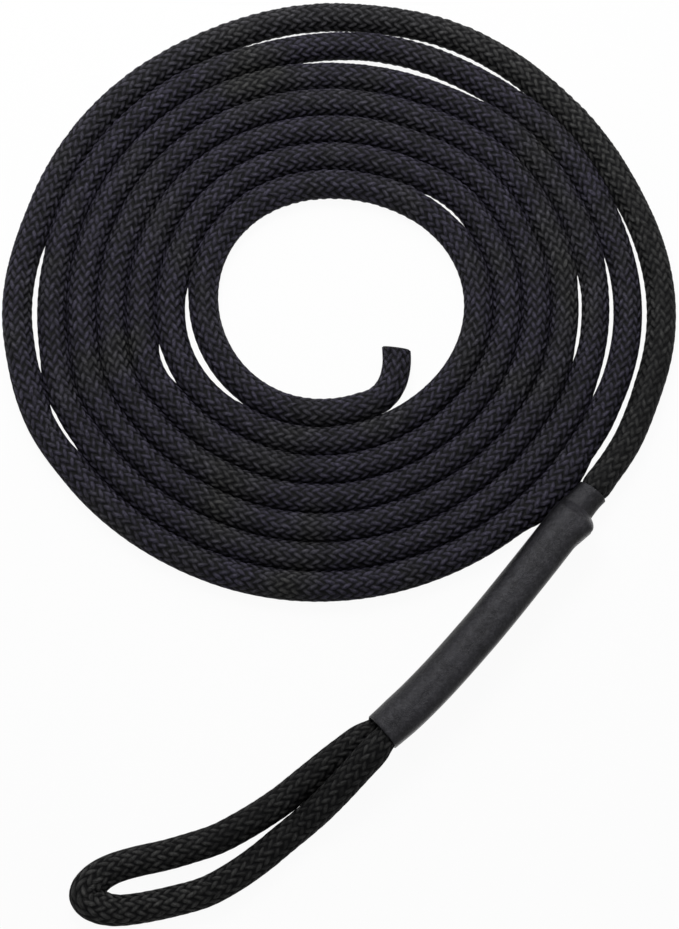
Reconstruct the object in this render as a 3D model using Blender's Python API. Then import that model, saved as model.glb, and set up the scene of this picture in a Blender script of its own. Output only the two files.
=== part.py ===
"""Training leash: a braided rope laid in a flat coil, with an eye bound under a heat-shrunk sleeve.

Metres, +Z up. The leash lies on the plane z = 0, with the middle of its footprint at the origin.
"""

import math
from collections import namedtuple

import bmesh
import bpy
from mathutils import Vector

MM = 0.001

# Rope: a braided cover round a core of straight yarns, pressed a little flat where it lies
ROPE_DIAMETER = 8.0 * MM
COVER_WALL = 1.4 * MM
FLAT_SHARE = 0.1
SEAL_LENGTH = 1.2 * MM
SEAL_TAPER = 0.8

# Room between pieces that touch, and between ropes that lie side by side
FIT_GAP = 0.3 * MM
LAY_GAP = 0.45 * MM

# Coil, wound clockwise from the inside: bearings are degrees from +X, and a loose place is
# (turns inside it, bearing, degrees to either side, width)
POINTS_PER_TURN = 24
COIL_STEPS = 164
START_BEARING = -75.0
INNER_RADIUS = 34.43 * MM
OVAL = 1.47 * MM
LOBES = 0.62 * MM
LOBE_BEARING = 130.0
EASE = 0.31 * MM
EASE_BEARING = 136.0
LOOSE_PLACES = (
    (1, -158.0, 44.0, 1.8 * MM),
    (2, -158.5, 14.5, 1.0 * MM),
    (6, -179.0, 22.0, 1.45 * MM),
    (5, 76.0, 35.5, 1.95 * MM),
    (1, 42.0, 23.5, 0.95 * MM),
    (4, 18.0, 58.0, 0.35 * MM),
    (5, -5.0, 28.5, 1.15 * MM),
    (6, -2.0, 38.5, 1.3 * MM),
    (6, 63.0, 24.5, 1.55 * MM),
    (6, 97.5, 27.0, 1.1 * MM),
)

# Free end inside the coil, as (back, inward) from the start of the coil, tip first
FREE_END = (
    (14.3 * MM, 13.9 * MM),
    (13.0 * MM, 9.0 * MM),
    (10.8 * MM, 5.0 * MM),
    (7.2 * MM, 1.7 * MM),
    (3.4 * MM, 0.3 * MM),
    (0.0, 0.0),
)
FREE_SPACING = 4.0 * MM

# Middle line of the handle, as (ahead, outward) from the end of the coil
SPINE = (
    (0.0, 0.0),
    (10.0 * MM, -0.9 * MM),
    (20.0 * MM, -2.75 * MM),
    (31.0 * MM, -6.7 * MM),
    (45.0 * MM, -12.7 * MM),
    (64.0 * MM, -20.95 * MM),
    (86.0 * MM, -31.05 * MM),
    (107.0 * MM, -42.15 * MM),
    (127.0 * MM, -55.35 * MM),
    (147.0 * MM, -69.05 * MM),
    (165.0 * MM, -85.55 * MM),
    (177.0 * MM, -106.55 * MM),
    (184.0 * MM, -121.05 * MM),
)
SPINE_SPACING = 2.0 * MM
CURVE_STEPS = 12

# Sleeve: a neck on the single rope, a shoulder that the tail's blunt end pushes out, and a wide part
# over both ropes
LEAD_LENGTH = 37.6 * MM
LEAD_STEPS = 6
SLEEVE_LENGTH = 91.8 * MM
NECK_LENGTH = 6.6 * MM
SHOULDER_LENGTH = 4.2 * MM
BEND_LAG = 0.3 * MM
SLEEVE_WALL = 0.6 * MM
SLEEVE_SIDES = 16
SPLIT_DEPTH = 3.0 * MM
NECK_DIAMETER = 7.2 * MM
SQUEEZED_DIAMETER = 7.0 * MM
PAIR_LEAN = math.radians(61.5)
TAIL_PUSH = 1.2 * MM
PUSH_LENGTH = 6.0 * MM

# Seizings: thread wound tightly round both ropes, below the sleeve's upper mouth and above its lower one
END_DEPTH = 30.8 * MM
THROAT_DEPTH = 15.0 * MM
SEIZING_TURNS = 4
THREAD_DIAMETER = 0.5 * MM
THREAD_GAP = 0.55 * MM
BOUND_DIAMETER = 5.4 * MM
BOUND_RAMP = 4.0 * MM

# Eye: the ropes settle side by side on the ground, then open, as (distance from the sleeve, opening)
SETTLE_STEPS = 6
SETTLE_LENGTH = 33.0 * MM
SWELL_LENGTH = 8.0 * MM
EYE_ROUTE = (
    (39.0 * MM, 0.5 * MM),
    (47.0 * MM, 1.65 * MM),
    (55.0 * MM, 2.75 * MM),
    (63.0 * MM, 4.1 * MM),
    (71.0 * MM, 4.1 * MM),
    (79.0 * MM, 4.05 * MM),
    (84.0 * MM, 3.4 * MM),
    (88.0 * MM, 2.5 * MM),
)
BIGHT_DISTANCE = 91.2 * MM
BIGHT_RADIUS = 4.2 * MM
BIGHT_ARC = math.radians(140.0)
BIGHT_NARROWING = 0.9
NARROWING_LENGTH = 15.0 * MM
BIGHT_STEPS = 8

ROPE_SIDES = 8
COIL_SIDES = 6

ROPE_RADIUS = ROPE_DIAMETER / 2
FLAT_ANGLE = math.acos(1 - 2 * FLAT_SHARE)
LYING = ROPE_RADIUS * math.cos(FLAT_ANGLE)
PAIR_SPACING = SQUEEZED_DIAMETER + LAY_GAP
NECK_HEIGHT = NECK_DIAMETER / 2 + FIT_GAP + SLEEVE_WALL
PAIR_HEIGHT = SQUEEZED_DIAMETER / 2 + FIT_GAP + SLEEVE_WALL
FULL_FROM = NECK_LENGTH + SHOULDER_LENGTH
TAIL_TIP = FULL_FROM + FIT_GAP
SPLIT_AT = SLEEVE_LENGTH - SPLIT_DEPTH
SEIZING_PLACES = {"end_seizing": END_DEPTH, "throat_seizing": SLEEVE_LENGTH - THROAT_DEPTH}
THREAD_PITCH = THREAD_DIAMETER + THREAD_GAP
BOUND_LENGTH = SEIZING_TURNS * THREAD_PITCH + 2 * THREAD_DIAMETER
WOUND_RADIUS = (BOUND_DIAMETER + THREAD_DIAMETER) / 2 + FIT_GAP

# Places along the wide part of the sleeve where the ropes begin or end a change of size
HALF_BOUND = BOUND_LENGTH / 2
BOUND_EDGES = (-HALF_BOUND - BOUND_RAMP, -HALF_BOUND, HALF_BOUND, HALF_BOUND + BOUND_RAMP)
BOUND_PLACES = [along + edge for along in SEIZING_PLACES.values() for edge in BOUND_EDGES]
MID_PLACE = sum(SEIZING_PLACES.values()) / len(SEIZING_PLACES)
PAIR_PLACES = sorted([FULL_FROM, FULL_FROM + PUSH_LENGTH, MID_PLACE, SPLIT_AT, *BOUND_PLACES])

Spot = namedtuple("Spot", "centre half_width half_height flat")
Slice = namedtuple("Slice", "centre heading half_width half_height flat")
Section = namedtuple("Section", "distance standing tail radius")


def material(name, colour, roughness):
    """A plain surface of one colour."""
    made = bpy.data.materials.new(name)
    made.use_nodes = True
    shader = made.node_tree.nodes["Principled BSDF"]
    shader.inputs["Base Color"].default_value = (*colour, 1.0)
    shader.inputs["Roughness"].default_value = roughness
    return made


def between(before, start, finish, after, share):
    """Point on the smooth curve from start to finish."""
    bend = 2 * before - 5 * start + 4 * finish - after
    twist = 3 * start - before - 3 * finish + after
    return (2 * start + (finish - before) * share + bend * share**2 + twist * share**3) / 2


def smooth(route, spacing):
    """Even points along a smooth curve through the route's own points."""
    ends = [2 * route[0] - route[1], *route, 2 * route[-1] - route[-2]]
    fine = [route[0]]
    for span in zip(ends, ends[1:], ends[2:], ends[3:]):
        fine += [between(*span, step / CURVE_STEPS) for step in range(1, CURVE_STEPS + 1)]
    length = sum((b - a).length for a, b in zip(fine, fine[1:]))
    count = round(length / spacing)
    return [walk(fine, length * step / count)[0] for step in range(count + 1)]


def walk(path, distance):
    """Point and heading at a distance along a path."""
    for start, finish in zip(path, path[1:]):
        step = finish - start
        if distance <= step.length:
            break
        distance -= step.length
    else:
        distance += step.length
    heading = step.normalized()
    return start + heading * distance, heading


def outward_at(bearing):
    """Level direction from the middle of the coil at a bearing."""
    angle = math.radians(bearing)
    return Vector((math.cos(angle), math.sin(angle), 0))


def clockwise_at(bearing):
    """Level direction of travel round the coil at a bearing."""
    return outward_at(bearing - 90)


def slack_at(turn):
    """How far the loose places inside it push the rope outward."""
    total = 0
    for turns_inside, bearing, spread, width in LOOSE_PLACES:
        centre = ((START_BEARING - bearing) % 360) / 360
        passes = round(turn - centre)
        offset = abs(turn - centre - passes) * 360
        if passes >= turns_inside and offset < spread:
            total += width * math.cos(math.pi / 2 * offset / spread) ** 2
    return total


def coil_centre(step):
    """Middle of the rope at a step round the coil."""
    turn = step / POINTS_PER_TURN
    bearing = START_BEARING - 360 * turn
    lean = (1 + math.cos(math.radians(bearing - EASE_BEARING))) / 2
    radius = INNER_RADIUS + (ROPE_DIAMETER + LAY_GAP + EASE * lean) * turn
    radius += OVAL * math.cos(2 * math.radians(bearing))
    radius += LOBES * math.cos(3 * math.radians(bearing - LOBE_BEARING)) + slack_at(turn)
    return outward_at(bearing) * radius + Vector((0, 0, LYING))


def least_gap(points, apart, diameter):
    """Least room between one turn and the next, measured on the points of the middle line."""
    pairs = ((a, b) for i, a in enumerate(points) for b in points[i + apart:])
    return min((a - b).length for a, b in pairs) - diameter


def lying(centre, narrowing=1.0):
    """Rope at its full size, pressed flat on the ground."""
    return Spot(centre, ROPE_RADIUS * narrowing, ROPE_RADIUS, FLAT_ANGLE)


def lifted(centre, radius):
    """Round rope clear of the ground."""
    return Spot(centre, radius, radius, math.pi / ROPE_SIDES)


def blend(first, last, share):
    """Value part of the way from first to last."""
    return first + (last - first) * min(max(share, 0), 1)


def slices_through(spots):
    """Cuts square to the rope at every spot of its route."""
    steps = [(b.centre - a.centre).normalized() for a, b in zip(spots, spots[1:])]
    headings = [(a + b).normalized() for a, b in zip(steps[:1] + steps, steps + steps[-1:])]
    return [Slice(spot.centre, heading, *spot[1:]) for spot, heading in zip(spots, headings)]


def outline(cut, inset, sides):
    """Points round the rope at a cut, a distance inside its surface."""
    side = Vector((-cut.heading.y, cut.heading.x, 0)).normalized()
    up = cut.heading.cross(side)
    step = (math.tau - 2 * cut.flat) / (sides - 1)
    angles = [cut.flat - math.pi / 2 + corner * step for corner in range(sides)]
    across = side * (cut.half_width - inset)
    upright = up * (cut.half_height - inset)
    return [cut.centre + across * math.cos(a) + upright * math.sin(a) for a in angles]


def wrap(shape, rings):
    """Faces from each ring to the next."""
    for back, front in zip(rings, rings[1:]):
        for a, b, c, d in zip(back, back[1:] + back[:1], front[1:] + front[:1], front):
            shape.faces.new((a, b, c, d))


def solid(name, surface, outer, inner=None):
    """A closed body through rings of points, hollow from end to end where it has inner rings."""
    shape = bmesh.new()
    skin = [[shape.verts.new(point) for point in ring] for ring in outer]
    wrap(shape, skin)
    if inner is None:
        shape.faces.new(skin[0][::-1])
        shape.faces.new(skin[-1])
    else:
        lining = [[shape.verts.new(point) for point in ring] for ring in inner]
        wrap(shape, [ring[::-1] for ring in lining])
        wrap(shape, [lining[0], skin[0]])
        wrap(shape, [skin[-1], lining[-1]])
    mesh = bpy.data.meshes.new(name)
    shape.to_mesh(mesh)
    shape.free()
    mesh.materials.append(surface)
    return place(name, mesh)


def place(name, data):
    """An object in the scene that moves with the whole leash."""
    made = bpy.data.objects.new(name, data)
    made.parent = leash
    bpy.context.collection.objects.link(made)
    return made


def moved(cut, distance, scale=1.0):
    """A cut carried along the rope, and drawn in."""
    centre = cut.centre + cut.heading * distance
    return Slice(centre, cut.heading, cut.half_width * scale, cut.half_height * scale, cut.flat)


def cover(name, cuts, sides, front=FIT_GAP / 2, back=FIT_GAP / 2):
    """A stretch of the braided cover, short of its neighbours at both ends."""
    trimmed = [moved(cuts[0], front), *cuts[1:-1], moved(cuts[-1], -back)]
    outer = [outline(cut, 0, sides) for cut in trimmed]
    inner = [outline(cut, COVER_WALL, sides) for cut in trimmed]
    return solid(name, braid, outer, inner)


def core(name, cuts):
    """The yarns inside the cover, from one melted end to the other."""
    stop = SEAL_LENGTH + FIT_GAP
    trimmed = [moved(cuts[0], stop), *cuts[1:-1], moved(cuts[-1], -stop)]
    return solid(name, yarn, [outline(cut, COVER_WALL + FIT_GAP, COIL_SIDES) for cut in trimmed])


def seal(name, tip, inward):
    """The melted end of the rope: inward is 1 where the route starts and -1 where it ends."""
    rings = [(SEAL_LENGTH, 1), (SEAL_LENGTH / 2, 1), (0, SEAL_TAPER)]
    cuts = [moved(tip, inward * depth, scale) for depth, scale in rings]
    return solid(name, melt, [outline(cut, 0, ROPE_SIDES) for cut in cuts[::-inward]])


def squeezed(distance):
    """Radius of each rope under the wide part, less where a seizing binds it."""
    nearest = min(abs(distance - centre) for centre in SEIZING_PLACES.values())
    share = (nearest - HALF_BOUND) / BOUND_RAMP
    return blend(BOUND_DIAMETER, SQUEEZED_DIAMETER, share) / 2


def sleeve_section(distance):
    """Where the ropes lie in the sleeve, as (side, height) of each, and the radius of the bore."""
    if distance <= NECK_LENGTH:
        single = (0, NECK_HEIGHT)
        return Section(distance, single, single, NECK_DIAMETER / 2 + FIT_GAP)
    side = PAIR_SPACING * math.cos(PAIR_LEAN) / 2
    rise = PAIR_SPACING * math.sin(PAIR_LEAN)
    push = blend(TAIL_PUSH, 0, (distance - FULL_FROM) / PUSH_LENGTH)
    bore = SQUEEZED_DIAMETER / 2 + FIT_GAP
    return Section(distance, (-side, PAIR_HEIGHT), (side + push, PAIR_HEIGHT + rise), bore)


def beside_spine(distance, side, height):
    """Point beside the handle's middle line, at a distance from the sleeve's upper mouth."""
    centre, heading = walk(spine, LEAD_LENGTH + distance)
    return centre + Vector((-heading.y, heading.x, 0)) * side + Vector((0, 0, height))


def round_ropes(section, radius, corner, corners, advance=0.0):
    """Corner of a band drawn tight round both ropes."""
    angle = PAIR_LEAN + math.tau * (corner + 0.5) / corners
    side, height = section.tail if math.cos(angle - PAIR_LEAN) > 0 else section.standing
    side += radius * math.cos(angle)
    height += radius * math.sin(angle)
    return beside_spine(section.distance + advance, side, height)


def sleeve_rings(wall):
    """Rings along the sleeve, a wall outside its bore."""
    places = [0, NECK_LENGTH / 2, NECK_LENGTH, *PAIR_PLACES, SLEEVE_LENGTH]
    sections = [sleeve_section(distance) for distance in places]
    corners = range(SLEEVE_SIDES)
    return [[round_ropes(s, s.radius + wall, c, SLEEVE_SIDES) for c in corners] for s in sections]


def seizing(name, distance):
    """Thread wound round both ropes at a distance from the sleeve's upper mouth."""
    section = sleeve_section(distance)
    points = []
    for corner in range(SEIZING_TURNS * POINTS_PER_TURN + 1):
        advance = THREAD_PITCH * (corner / POINTS_PER_TURN - SEIZING_TURNS / 2)
        points.append(round_ropes(section, WOUND_RADIUS, corner, POINTS_PER_TURN, advance))
    curve = bpy.data.curves.new(name, "CURVE")
    curve.dimensions = "3D"
    curve.bevel_depth = THREAD_DIAMETER / 2
    curve.bevel_resolution = 1
    curve.use_fill_caps = True
    line = curve.splines.new("POLY")
    line.points.add(len(points) - 1)
    for point, corner in zip(line.points, points):
        point.co = (*corner, 1)
    curve.materials.append(twine)
    gap = least_gap(points, POINTS_PER_TURN // 2, THREAD_DIAMETER)
    print(f"{name}: least gap {gap / MM:.2f} mm")
    return place(name, curve)


def free_end_spots():
    """The rope from its free tip to the start of the coil."""
    start = coil_centre(0)
    back = -clockwise_at(START_BEARING)
    inward = -outward_at(START_BEARING)
    route = [start + back * a + inward * b for a, b in FREE_END]
    return [lying(centre) for centre in smooth(route, FREE_SPACING)]


def lead_spots():
    """The rope from the end of the coil to the sleeve, rising into its neck."""
    spots = []
    for step in range(1, LEAD_STEPS):
        share = step / LEAD_STEPS
        height = blend(LYING, NECK_HEIGHT, share)
        flat = blend(FLAT_ANGLE, math.pi / ROPE_SIDES, share)
        centre = beside_spine(-LEAD_LENGTH * (1 - share), 0, height)
        spots.append(Spot(centre, ROPE_RADIUS, ROPE_RADIUS, flat))
    return spots


def neck_spots():
    """The single rope in the sleeve's neck, which it leaves a little below the start of the shoulder."""
    places = (0, NECK_LENGTH / 2, NECK_LENGTH + BEND_LAG)
    return [lifted(beside_spine(d, 0, NECK_HEIGHT), NECK_DIAMETER / 2) for d in places]


def pair_spot(distance, tail):
    """One of the two ropes under the wide part of the sleeve."""
    section = sleeve_section(distance)
    return lifted(beside_spine(distance, *(section.tail if tail else section.standing)), squeezed(distance))


def eye_spot(distance, opening, tail):
    """One of the two ropes of the eye, at a distance from the sleeve's lower mouth."""
    settled = distance / SETTLE_LENGTH
    lean = blend(PAIR_LEAN, 0, settled)
    radius = blend(SQUEEZED_DIAMETER, ROPE_DIAMETER, distance / SWELL_LENGTH) / 2
    flat = blend(math.pi / ROPE_SIDES, FLAT_ANGLE, settled)
    height = blend(PAIR_HEIGHT, LYING, settled)
    spacing = 2 * radius + LAY_GAP + opening
    side = spacing * math.cos(lean) / 2
    narrowing = blend(BIGHT_NARROWING, 1, (BIGHT_DISTANCE - distance) / NARROWING_LENGTH)
    if tail:
        height += spacing * math.sin(lean)
    centre = beside_spine(SLEEVE_LENGTH + distance, side if tail else -side, height)
    return Spot(centre, radius * narrowing, radius, flat)


def bight_spot(step):
    """The turn at the far end of the eye."""
    angle = math.pi / 2 + BIGHT_ARC * (step / BIGHT_STEPS - 0.5)
    ahead = BIGHT_DISTANCE + BIGHT_RADIUS * math.sin(angle)
    side = -BIGHT_RADIUS * math.cos(angle)
    return lying(beside_spine(SLEEVE_LENGTH + ahead, side, LYING), BIGHT_NARROWING)


def eye_spots():
    """The rope of the eye, out from the sleeve and back to it."""
    settling = [(SETTLE_LENGTH * step / SETTLE_STEPS, 0) for step in range(SETTLE_STEPS + 1)]
    route = settling + list(EYE_ROUTE)
    out = [eye_spot(*stage, tail=False) for stage in route]
    back = [eye_spot(*stage, tail=True) for stage in reversed(route)]
    return out + [bight_spot(step) for step in range(BIGHT_STEPS + 1)] + back


for old in list(bpy.data.objects):
    bpy.data.objects.remove(old)

leash = bpy.data.objects.new("training_leash", None)
bpy.context.collection.objects.link(leash)

braid = material("braid", (0.012, 0.012, 0.014), 0.8)
yarn = material("yarn", (0.03, 0.03, 0.03), 0.9)
shrink = material("shrink", (0.02, 0.02, 0.021), 0.55)
twine = material("twine", (0.015, 0.015, 0.015), 0.7)
melt = material("melt", (0.01, 0.01, 0.01), 0.35)

coil_points = [coil_centre(step) for step in range(COIL_STEPS + 1)]
end_bearing = START_BEARING - 360 * COIL_STEPS / POINTS_PER_TURN
coil_end = coil_points[-1] - Vector((0, 0, LYING))
ahead_of_coil, outward_of_coil = clockwise_at(end_bearing), outward_at(end_bearing)
spine = smooth([coil_end + ahead_of_coil * a + outward_of_coil * b for a, b in SPINE], SPINE_SPACING)

# The rope's whole route from its free tip to its tail, a stretch at a time
free_end = free_end_spots()
coil = [lying(centre) for centre in coil_points[1:]]
standing_places = [FULL_FROM + BEND_LAG, *PAIR_PLACES[1:]]
standing = lead_spots() + neck_spots() + [pair_spot(d, tail=False) for d in standing_places]
eye = eye_spots() + [pair_spot(SPLIT_AT, tail=True)]
tail_places = [TAIL_TIP, *(d for d in PAIR_PLACES if FULL_FROM < d < SPLIT_AT)]
tail_end = [pair_spot(d, tail=True) for d in reversed(tail_places)]
rope = slices_through(free_end + coil + standing + eye + tail_end)

coil_from = len(free_end) - 1
lead_from = coil_from + len(coil)
eye_from = lead_from + len(standing)
tail_from = eye_from + len(eye)

cover("free_end", rope[: coil_from + 1], ROPE_SIDES, front=SEAL_LENGTH + FIT_GAP)
cover("coil", rope[coil_from : lead_from + 1], COIL_SIDES)
cover("standing_part", rope[lead_from : eye_from + 1], ROPE_SIDES)
cover("eye", rope[eye_from : tail_from + 1], ROPE_SIDES)
cover("tail", rope[tail_from:], ROPE_SIDES, back=SEAL_LENGTH + FIT_GAP)
core("core", rope)
seal("free_end_seal", rope[0], 1)
seal("tail_seal", rope[-1], -1)
solid("sleeve", shrink, sleeve_rings(SLEEVE_WALL), sleeve_rings(0))
for seizing_name, seizing_place in SEIZING_PLACES.items():
    seizing(seizing_name, seizing_place)

print(f"coil: least gap {least_gap(coil_points, POINTS_PER_TURN // 2, ROPE_DIAMETER) / MM:.2f} mm")
length = sum((b.centre - a.centre).length for a, b in zip(rope, rope[1:]))
print(f"rope: {length:.3f} m")

# The middle of the footprint is at the origin
bpy.context.view_layer.update()
corners = [Vector(corner) for piece in leash.children for corner in piece.bound_box]
middle_x = (min(c.x for c in corners) + max(c.x for c in corners)) / 2
middle_y = (min(c.y for c in corners) + max(c.y for c in corners)) / 2
leash.location = (-middle_x, -middle_y, 0)
print(f"middle of the coil: {-middle_x:.5f} {-middle_y:.5f}")
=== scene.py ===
"""Training leash as it looks: a braided rope, its shrunk sleeve and its melted ends. Metres, +Z up."""

import math

import bpy
import numpy as np
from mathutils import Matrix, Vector

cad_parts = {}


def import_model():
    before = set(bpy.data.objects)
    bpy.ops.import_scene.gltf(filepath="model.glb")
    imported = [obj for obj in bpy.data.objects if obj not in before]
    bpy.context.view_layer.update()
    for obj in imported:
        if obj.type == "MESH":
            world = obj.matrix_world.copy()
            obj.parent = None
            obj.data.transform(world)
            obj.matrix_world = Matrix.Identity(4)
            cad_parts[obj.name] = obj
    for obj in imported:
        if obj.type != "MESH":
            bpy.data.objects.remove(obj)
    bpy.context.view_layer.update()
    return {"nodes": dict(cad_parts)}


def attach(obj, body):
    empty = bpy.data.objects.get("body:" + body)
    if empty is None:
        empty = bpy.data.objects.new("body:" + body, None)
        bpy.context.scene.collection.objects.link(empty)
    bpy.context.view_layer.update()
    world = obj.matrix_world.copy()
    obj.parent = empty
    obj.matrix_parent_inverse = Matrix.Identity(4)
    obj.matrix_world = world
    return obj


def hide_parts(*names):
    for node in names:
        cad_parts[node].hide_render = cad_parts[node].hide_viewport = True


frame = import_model()

MM = 0.001

# Camera: a little short of straight down, with the top of the picture towards +Y
ELEVATION = math.radians(76.0)
LENS = 75.0
TARGET = np.array((0.1, -8.06, 4.0)) * MM
CAMERA_DISTANCE = 557.0 * MM

# Rope and coil, with the same values as the solids. Bearings are degrees from +X, and a loose place is
# (turns inside it, bearing, degrees to either side, width in millimetres)
COIL_MIDDLE = np.array((-2.10, 41.14, 0.0)) * MM
ROPE_RADIUS = 4.0 * MM
LYING = 3.2 * MM
LAY_GAP = 0.45 * MM
POINTS_PER_TURN = 72
COIL_STEPS = 492
START_BEARING = -75.0
INNER_RADIUS = 34.43 * MM
OVAL = 1.47 * MM
LOBES = 0.62 * MM
LOBE_BEARING = 130.0
EASE = 0.31 * MM
EASE_BEARING = 136.0
LOOSE_PLACES = (
    (1, -158.0, 44.0, 1.8), (2, -158.5, 14.5, 1.0), (6, -179.0, 22.0, 1.45), (5, 76.0, 35.5, 1.95),
    (1, 42.0, 23.5, 0.95), (4, 18.0, 58.0, 0.35), (5, -5.0, 28.5, 1.15), (6, -2.0, 38.5, 1.3),
    (6, 63.0, 24.5, 1.55), (6, 97.5, 27.0, 1.1),
)
ROPE_SPACING = 0.25 * MM

# Free end, as (back, inward) from the start of the coil
FREE_END = ((14.97, 16.41), (13.0, 9.0), (10.8, 5.0), (7.2, 1.7), (3.4, 0.3))

# Turns press together over small gaps. Slits, as (turns inside, bearing, half the span, opening), draw
# two turns apart, or swell a turn where the opening is negative
PRESSED_GAP = 0.4 * MM
OPEN_GAP = 0.7 * MM
PRESS = 0.14 * MM
SLITS = ((4, -3.6, 12.0, 1.1), (6, -154.0, 6.0, 1.0), (6, -42.0, 9.0, -2.4))
SLIT_STEEPNESS = 2.5

# The free end is cut a little askew, and leans back at the top
CUT_DEPTH = 2.05 * MM
CUT_LEAN = 0.95 * MM
CUT_SLANT = 0.8 * MM
CUT_EASE = 0.4 * MM

# Middle line of the handle, as (ahead, outward) from the end of the coil
SPINE = (
    (0, 0), (10, -0.9), (20, -2.75), (31, -6.7), (45, -12.7), (64, -20.95), (86, -31.05),
    (107, -42.15), (127, -55.35), (147, -69.05), (165, -85.55), (177, -106.55), (184, -121.05),
)
SPINE_SPACING = 1.0 * MM

# Sleeve, the two ropes under it, and the eye, whose route is (distance from the sleeve, opening)
LEAD_LENGTH = 37.6 * MM
LEAD_STEPS = 6
LEAD_STOP = 1.5 * MM
SLEEVE_LENGTH = 91.8 * MM
NECK_START = 0.5 * MM
NECK_LENGTH = 6.6 * MM
SHOULDER_LENGTH = 4.2 * MM
SLEEVE_WALL = 0.6 * MM
FIT_GAP = 0.3 * MM
NECK_RADIUS = 3.6 * MM
PAIR_RADIUS = 3.5 * MM
BOUND_RADIUS = 2.7 * MM
PAIR_LEAN = math.radians(61.5)
TAIL_PUSH = 1.2 * MM
PUSH_LENGTH = 6.0 * MM
SPLIT_AT = 88.8 * MM
TAIL_TIP = 11.1 * MM
BINDINGS = (30.8 * MM, 76.8 * MM)
HALF_BOUND = 2.6 * MM
BOUND_RAMP = 4.0 * MM
SETTLE_LENGTH = 33.0 * MM
SETTLE_STEPS = 6
SWELL_LENGTH = 5.0 * MM
EYE_ROUTE = ((39, 0.5), (47, 1.65), (55, 2.75), (63, 4.1), (71, 4.1), (79, 4.05), (83, 3.6))

# Bight: its outer edge is half an ellipse, and the rope bunches up inside the turn
BIGHT_DISTANCE = 83.0 * MM
BIGHT_LENGTH = 16.0 * MM
BIGHT_HALF = 10.1 * MM
BUNCHING = 0.9 * MM
BUNCHED_HEIGHT = 0.3
BIGHT_ANGLES = (75, 60, 48, 36, 24, 12, 0, -12, -24, -36, -48, -60, -75)

# Sleeve's form: flared at its upper mouth, drawn in along the neck and tight at its lower mouth. Its
# section is a leaning oval joined with an upright one, and both mouths have a rounded lip
SLEEVE_SIDES = 72
OUTLINE_STEPS = 240
SHOULDER_CURVE = 1.6
FLARE = 0.14 * MM
FLARE_LENGTH = 1.5 * MM
NECK_WAIST = 0.16 * MM
GRIP = 0.25 * MM
GRIP_LENGTH = 7.0 * MM
WIDENING = 0.3 * MM
ROUND_SECTION = 2.0
FULL_SECTION = 2.25
OVAL_JOIN = 0.25 * MM
INNER_SKIN = 0.05 * MM
LIP_BULGE = 0.22 * MM
LIP_SHARE = 0.62
RING_SPACING = 1.0 * MM
SHOULDER_SPACING = 0.35 * MM
BEFORE_SHOULDER = 1.0 * MM
AFTER_SHOULDER = 1.5 * MM

# Melted ends: rings, as (depth in millimetres, share of the rope's radius), from inside the braid to
# the middle of the face, and lumps made of a few waves round the end
SEAL_PROFILE = (
    (1.2, 0.70), (1.1, 0.88), (0.3, 0.93), (0.08, 0.92),
    (0.0, 0.86), (0.06, 0.62), (0.12, 0.35), (0.1, 0.12),
)
SEAL_SIDES = 48
SEAL_PROUD = 0.3 * MM
TAIL_PROUD = 0.2 * MM
LUMP_WAVES = (2, 3, 5, 8)
LUMP_SIZES = (0.3, 1.0)
LUMP_DEPTH = 0.06
LUMP_GIRTH = 0.012
FREE_END_SEED = 3
TAIL_SEED = 4

# Braid: sixteen strands, each over one and under the next, seen as columns of short slanting grains.
# Twists, as (size, rate along the rope, phase), turn the columns slowly
COLUMNS = 16
PITCH = 3.16 * MM
SLANT = 0.5
QUARTER = 0.25
ACROSS = 8
ALONG = 5
TWISTS = ((0.35, 9.0, 0.7), (0.2, 23.0, 2.0))
STRAND_RISE = 0.29 * MM
STRAND_CROWN = 0.31 * MM
STRAND_HALF = 0.33
DEEPEST = 0.70 * MM
FLANK_PRESS = 0.9
FLANK_SHARPNESS = 28
FULLNESS = 1.05
COIL_PIECES = 6

# Grains differ in girth, height and place
GRAINS = 4096
GRAIN_SEED = 7
GIRTH_SPREAD = 0.5
LOWEST_LIFT = 0.7
LIFT_SPREAD = 0.6
STRAY = 0.2

# Picture map of the braid: strips of rope side by side, with both ends as discs above them
STRIP_MARGIN = 0.02
STRIP_HEIGHT = 0.95
DISC_RADIUS = 0.018
DISC_CENTRES = ((0.03, 0.976), (0.08, 0.976))

# The dye is bluish along most of the coil and plain from its outer turn on. Painted shade makes the rope
# darker towards the eye, and painted light makes it a little paler on the outer turn and paler at the bight.
# Places are metres along the rope
PLAIN_PLACES = (2.48, 2.68)
LIGHT_AND_SHADE_PLACES = (2.1, 2.3, 2.70, 2.80, 2.97, 3.02, 3.07)
PAINTED_LIGHT_AND_SHADE = (0.20, 0.12, 0.16, 0.66, 0.58, -0.08, 0.58)
TONE_SPREAD = 0.58

# Colours: yarn is plain and bluish, and the rest is a darker and a paler shade
DARK_YARN = ((0.0120, 0.0119, 0.0118), (0.0123, 0.0112, 0.0178))
PALE_YARN = ((0.0860, 0.0860, 0.0845), (0.0780, 0.0720, 0.1080))
# Darker yarn for the grains' own tone and for the painted shade towards the eye
GRAIN_TONE_AND_SHADE = (0.0040, 0.0040, 0.0042)
# Colour of the painted shade deep in the weave, between and under the strands
PAINTED_WEAVE_SHADE = (0.0012, 0.0012, 0.0015)
SLEEVE_FLANKS = ((0.0050, 0.0049, 0.0056), (0.0098, 0.0096, 0.0110))
# Paler sleeve colour for the painted highlight along its top
SLEEVE_PAINTED_HIGHLIGHT = ((0.0190, 0.0188, 0.0213), (0.0368, 0.0363, 0.0413))
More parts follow.
